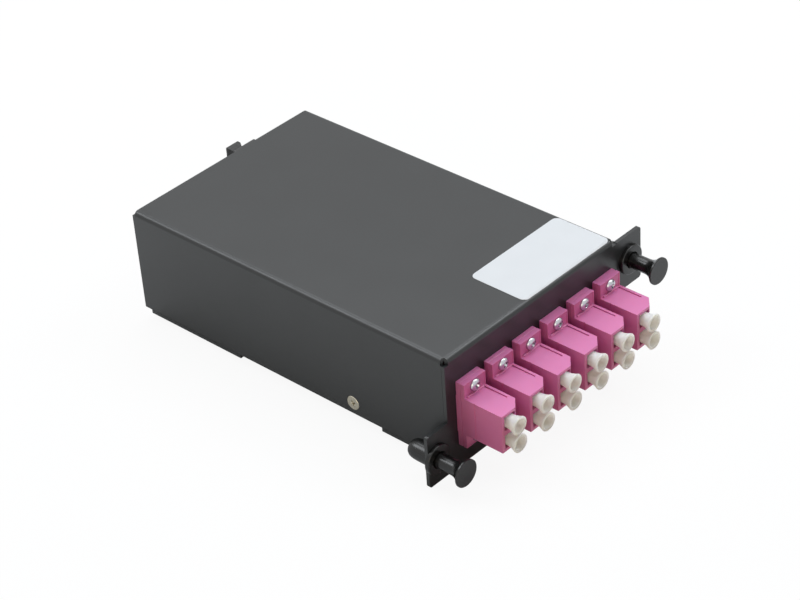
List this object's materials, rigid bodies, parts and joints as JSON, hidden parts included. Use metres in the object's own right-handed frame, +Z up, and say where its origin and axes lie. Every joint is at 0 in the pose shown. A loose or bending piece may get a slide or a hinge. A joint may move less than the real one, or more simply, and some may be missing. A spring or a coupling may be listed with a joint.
{
  "type": "fibre cassette",
  "caption": "Closed steel cassette with a row of upright duplex fibre adapters under dust caps in its front panel, push-pull latches in its ears and a multi-fibre adapter in its back wall.",
  "frame": {"origin": "middle of the base cover's underside: halfway across the box and halfway between the front panel and the back wall", "axes": "+X across the front panel, to the right seen from the front; +Y from the front panel to the back wall; +Z up, out of the top cover"},
  "size_m": [0.0999, 0.1695, 0.0401],
  "materials": {
    "powder_coat": "fine-textured matt powder coat",
    "adapter_violet": "moulded, fine satin",
    "cap_white": "soft moulded, slightly translucent",
    "latch_nylon": "moulded, semi-gloss",
    "screw_zinc": "bright zinc plate",
    "screw_nickel": "nickel plate",
    "screw_black": "black zinc plate",
    "sticker": "satin film sticker, blank",
    "ceramic": "polished zirconia",
    "ferrule_polymer": "filled polymer",
    "plug_violet": "moulded satin",
    "boot_rubber": "soft moulded",
    "lead_jacket": "extruded satin",
    "fanout_moulding": "moulded matt",
    "mpo_black": "moulded matt",
    "mpo_cap_rubber": "moulded matt"
  },
  "bodies": {
    "cassette": {"top_cover": "powder_coat", "base_cover": "powder_coat", "cover_screws": "screw_nickel", "adapter_screws": "screw_zinc", "lc_alignment_sleeves": "ceramic", "lc_plugs": "plug_violet", "lc_ferrules": "ceramic", "lc_boots": "boot_rubber", "fibre_leads": "lead_jacket", "fanout_block": "fanout_moulding", "ribbon_cable": "lead_jacket", "left_latch_grommet": "latch_nylon", "right_latch_grommet": "latch_nylon", "label": "sticker", "mpo_adapter": "mpo_black", "mpo_adapter_screws": "screw_black", "mpo_plug_housing": "plug_violet", "mpo_ferrule": "ferrule_polymer", "mpo_coupling_sleeve": "plug_violet", "mpo_boot": "boot_rubber", "lc_adapter_front_1": "adapter_violet", "lc_adapter_rear_1": "adapter_violet", "lc_adapter_front_2": "adapter_violet", "lc_adapter_rear_2": "adapter_violet", "lc_adapter_front_3": "adapter_violet", "lc_adapter_rear_3": "adapter_violet", "lc_adapter_front_4": "adapter_violet", "lc_adapter_rear_4": "adapter_violet", "lc_adapter_front_5": "adapter_violet", "lc_adapter_rear_5": "adapter_violet", "lc_adapter_front_6": "adapter_violet", "lc_adapter_rear_6": "adapter_violet"},
    "left_plunger": {"left_latch_plunger": "latch_nylon"},
    "right_plunger": {"right_latch_plunger": "latch_nylon"},
    "dust_cap_1_upper": {"lc_dust_cap_1_upper": "cap_white"},
    "dust_cap_1_lower": {"lc_dust_cap_1_lower": "cap_white"},
    "dust_cap_2_upper": {"lc_dust_cap_2_upper": "cap_white"},
    "dust_cap_2_lower": {"lc_dust_cap_2_lower": "cap_white"},
    "dust_cap_3_upper": {"lc_dust_cap_3_upper": "cap_white"},
    "dust_cap_3_lower": {"lc_dust_cap_3_lower": "cap_white"},
    "dust_cap_4_upper": {"lc_dust_cap_4_upper": "cap_white"},
    "dust_cap_4_lower": {"lc_dust_cap_4_lower": "cap_white"},
    "dust_cap_5_upper": {"lc_dust_cap_5_upper": "cap_white"},
    "dust_cap_5_lower": {"lc_dust_cap_5_lower": "cap_white"},
    "dust_cap_6_upper": {"lc_dust_cap_6_upper": "cap_white"},
    "dust_cap_6_lower": {"lc_dust_cap_6_lower": "cap_white"},
    "mpo_cap": {"mpo_dust_cap": "mpo_cap_rubber"}
  },
  "joints": [
    {"name": "left_plunger_push", "type": "slide", "parent": "cassette", "child": "left_plunger", "axis": [0, 1, 0], "range_m": [0, 0.004]},
    {"name": "right_plunger_push", "type": "slide", "parent": "cassette", "child": "right_plunger", "axis": [0, 1, 0], "range_m": [0, 0.004]},
    {"name": "dust_cap_1_upper_pull", "type": "slide", "parent": "cassette", "child": "dust_cap_1_upper", "axis": [0, -1, 0], "range_m": [0, 0.012]},
    {"name": "dust_cap_1_lower_pull", "type": "slide", "parent": "cassette", "child": "dust_cap_1_lower", "axis": [0, -1, 0], "range_m": [0, 0.012]},
    {"name": "dust_cap_2_upper_pull", "type": "slide", "parent": "cassette", "child": "dust_cap_2_upper", "axis": [0, -1, 0], "range_m": [0, 0.012]},
    {"name": "dust_cap_2_lower_pull", "type": "slide", "parent": "cassette", "child": "dust_cap_2_lower", "axis": [0, -1, 0], "range_m": [0, 0.012]},
    {"name": "dust_cap_3_upper_pull", "type": "slide", "parent": "cassette", "child": "dust_cap_3_upper", "axis": [0, -1, 0], "range_m": [0, 0.012]},
    {"name": "dust_cap_3_lower_pull", "type": "slide", "parent": "cassette", "child": "dust_cap_3_lower", "axis": [0, -1, 0], "range_m": [0, 0.012]},
    {"name": "dust_cap_4_upper_pull", "type": "slide", "parent": "cassette", "child": "dust_cap_4_upper", "axis": [0, -1, 0], "range_m": [0, 0.012]},
    {"name": "dust_cap_4_lower_pull", "type": "slide", "parent": "cassette", "child": "dust_cap_4_lower", "axis": [0, -1, 0], "range_m": [0, 0.012]},
    {"name": "dust_cap_5_upper_pull", "type": "slide", "parent": "cassette", "child": "dust_cap_5_upper", "axis": [0, -1, 0], "range_m": [0, 0.012]},
    {"name": "dust_cap_5_lower_pull", "type": "slide", "parent": "cassette", "child": "dust_cap_5_lower", "axis": [0, -1, 0], "range_m": [0, 0.012]},
    {"name": "dust_cap_6_upper_pull", "type": "slide", "parent": "cassette", "child": "dust_cap_6_upper", "axis": [0, -1, 0], "range_m": [0, 0.012]},
    {"name": "dust_cap_6_lower_pull", "type": "slide", "parent": "cassette", "child": "dust_cap_6_lower", "axis": [0, -1, 0], "range_m": [0, 0.012]},
    {"name": "mpo_cap_pull", "type": "slide", "parent": "cassette", "child": "mpo_cap", "axis": [0, 1, 0], "range_m": [0, 0.012]}
  ]
}
